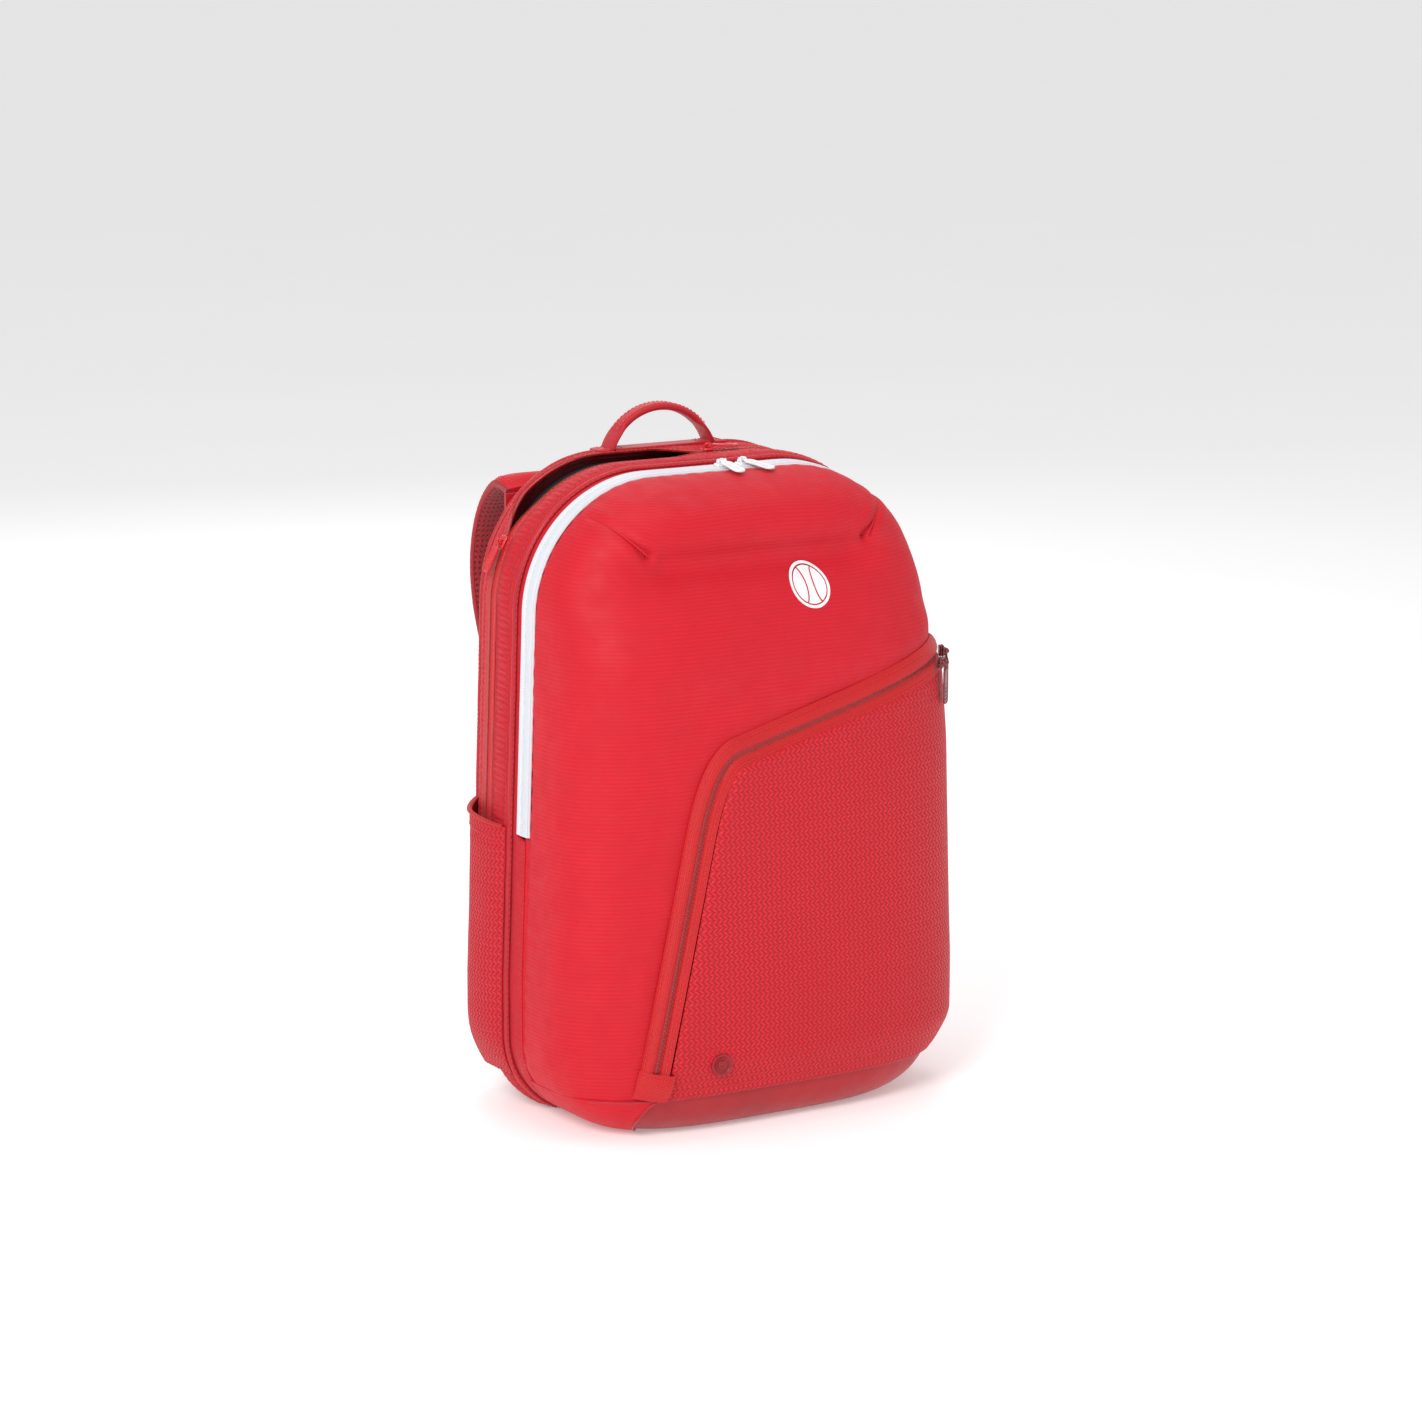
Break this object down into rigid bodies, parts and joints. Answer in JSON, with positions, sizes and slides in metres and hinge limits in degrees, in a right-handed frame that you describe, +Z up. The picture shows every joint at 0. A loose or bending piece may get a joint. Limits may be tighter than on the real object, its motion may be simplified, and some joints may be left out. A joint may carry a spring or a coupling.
{
  "type": "racket backpack",
  "caption": "Soft arch-shaped racket backpack with a padded front panel, slanting front pocket, open racket compartment, webbing grab handle and shoulder straps.",
  "frame": {"origin": "centre of the flat underside that the bag stands on", "axes": "+Z up; -Y towards the front pocket; +X to the right as seen from the front"},
  "size_m": [0.3564, 0.2662, 0.497],
  "materials": {
    "red_fabric": "fine woven polyester with a soft sheen",
    "pocket_fabric": "polyester embossed with a herringbone pattern",
    "base_fabric": "smooth coated polyester",
    "inner_fabric": "thin lining cloth",
    "board": "grey polyethylene sheet",
    "mesh": "spacer mesh",
    "red_tape": "woven zip tape",
    "red_coil": "nylon coil",
    "white_tape": "coated woven zip tape",
    "white_coil": "nylon coil",
    "white_slider": "white lacquered zinc",
    "dark_slider": "dark red lacquered zinc",
    "red_slider": "red lacquered zinc",
    "badge": "tone-on-tone moulded badge",
    "webbing": "woven nylon webbing",
    "buckle": "black acetal"
  },
  "bodies": {
    "bag": {"base_panel": "base_fabric", "base_board": "board", "back_panel": "base_fabric", "back_frame_sheet": "board", "back_pad_left": "mesh", "back_pad_right": "mesh", "lumbar_pad": "mesh", "divider_panel": "inner_fabric", "main_gusset": "red_fabric", "seam_piping_mid": "base_fabric", "ribbed_gusset": "red_fabric", "racket_zip_tape_front": "red_tape", "racket_zip_tape_rear": "red_tape", "racket_zip_coil": "red_coil", "rear_gusset": "red_fabric", "seam_piping_back": "base_fabric", "main_zip_tape_rear": "white_tape", "main_zip_coil_rear": "white_coil", "front_panel_lower": "red_fabric", "pocket_panel_lower": "pocket_fabric", "pocket_zip_tape_lower": "red_tape", "pocket_zip_coil_lower": "red_coil", "zip_garage": "red_tape", "pocket_badge": "badge", "side_pocket_left": "red_fabric", "side_pocket_right": "red_fabric", "grab_handle_anchor": "webbing", "strap_anchor_left": "webbing", "strap_anchor_right": "webbing", "strap_yoke": "webbing"},
    "front_flap": {"front_panel_upper": "red_fabric", "pocket_panel_upper": "pocket_fabric", "pocket_zip_tape_upper": "red_tape", "pocket_zip_coil_upper": "red_coil", "main_zip_tape_front": "white_tape", "main_zip_coil_front": "white_coil"},
    "main_slider_left": {"main_slider_left": "white_slider"},
    "main_slider_right": {"main_slider_right": "white_slider"},
    "main_pull_left": {"main_pull_left": "white_slider"},
    "main_pull_right": {"main_pull_right": "white_slider"},
    "pocket_slider_upper": {"pocket_slider_upper": "dark_slider"},
    "pocket_slider_lower": {"pocket_slider_lower": "dark_slider"},
    "pocket_pull_upper": {"pocket_pull_upper": "dark_slider"},
    "pocket_pull_lower": {"pocket_pull_lower": "dark_slider"},
    "racket_slider_top": {"racket_slider_top": "red_slider"},
    "racket_slider_side": {"racket_slider_side": "red_slider"},
    "racket_pull_top": {"racket_pull_top": "red_slider"},
    "racket_pull_side": {"racket_pull_side": "red_slider"},
    "grab_handle": {"grab_handle": "webbing"},
    "strap_left": {"strap_left": "red_fabric", "strap_lining_left": "mesh", "ladder_lock_left": "buckle", "strap_webbing_left": "webbing"},
    "strap_right": {"strap_right": "red_fabric", "strap_lining_right": "mesh", "ladder_lock_right": "buckle", "strap_webbing_right": "webbing"}
  },
  "joints": [
    {"name": "front_flap_fold", "type": "hinge", "parent": "bag", "child": "front_flap", "pos_m": [0, -0.0983, 0.209], "axis": [1, 0, 0], "range_deg": [0, 35]},
    {"name": "main_slider_left_run", "type": "slide", "parent": "front_flap", "child": "main_slider_left", "axis": [-1, 0, 0], "range_m": [0, 0.06]},
    {"name": "main_slider_right_run", "type": "slide", "parent": "front_flap", "child": "main_slider_right", "axis": [1, 0, 0], "range_m": [0, 0.03]},
    {"name": "main_pull_left_swing", "type": "hinge", "parent": "main_slider_left", "child": "main_pull_left", "pos_m": [0.007, 0.01, 0.4651], "axis": [-1, 0, 0], "range_deg": [0, 160]},
    {"name": "main_pull_right_swing", "type": "hinge", "parent": "main_slider_right", "child": "main_pull_right", "pos_m": [0.024, 0.01, 0.4651], "axis": [-0.9397, -0.342, 0], "range_deg": [0, 160]},
    {"name": "pocket_slider_upper_run", "type": "slide", "parent": "front_flap", "child": "pocket_slider_upper", "axis": [-0.4002, -0.9104, -0.1052], "range_m": [0, 0.006]},
    {"name": "pocket_slider_lower_run", "type": "slide", "parent": "front_flap", "child": "pocket_slider_lower", "axis": [-0.7491, -0.6325, -0.197], "range_m": [0, 0.012]},
    {"name": "pocket_pull_upper_swing", "type": "hinge", "parent": "pocket_slider_upper", "child": "pocket_pull_upper", "pos_m": [0.15933, -0.05237, 0.32282], "axis": [-0.2723, -0.9622, 0], "range_deg": [0, 150]},
    {"name": "pocket_pull_lower_swing", "type": "hinge", "parent": "pocket_slider_lower", "child": "pocket_pull_lower", "pos_m": [0.1435, -0.07633, 0.31908], "axis": [-0.7859, -0.6184, 0], "range_deg": [0, 150]},
    {"name": "racket_slider_top_run", "type": "slide", "parent": "bag", "child": "racket_slider_top", "axis": [1, 0, 0], "range_m": [0, 0.03]},
    {"name": "racket_slider_side_run", "type": "hinge", "parent": "bag", "child": "racket_slider_side", "pos_m": [-0.055, 0.058, 0.365], "axis": [0, -1, 0], "range_deg": [0, 25]},
    {"name": "racket_pull_top_swing", "type": "hinge", "parent": "racket_slider_top", "child": "racket_pull_top", "pos_m": [0.024, 0.058, 0.4691], "axis": [0, -1, 0], "range_deg": [0, 160]},
    {"name": "racket_pull_side_swing", "type": "hinge", "parent": "racket_slider_side", "child": "racket_pull_side", "pos_m": [-0.14734, 0.058, 0.41307], "axis": [0, 1, 0], "range_deg": [0, 150]},
    {"name": "grab_handle_tilt", "type": "hinge", "parent": "bag", "child": "grab_handle", "pos_m": [0, 0.09, 0.4679], "axis": [1, 0, 0], "range_deg": [-45, 45], "stiffness_Nm_per_rad": 0.02},
    {"name": "strap_left_swing", "type": "hinge", "parent": "bag", "child": "strap_left", "pos_m": [-0.088, 0.1, 0.442], "axis": [1, 0, 0], "range_deg": [0, 25]},
    {"name": "strap_right_swing", "type": "hinge", "parent": "bag", "child": "strap_right", "pos_m": [0.088, 0.1, 0.442], "axis": [1, 0, 0], "range_deg": [0, 25]}
  ]
}
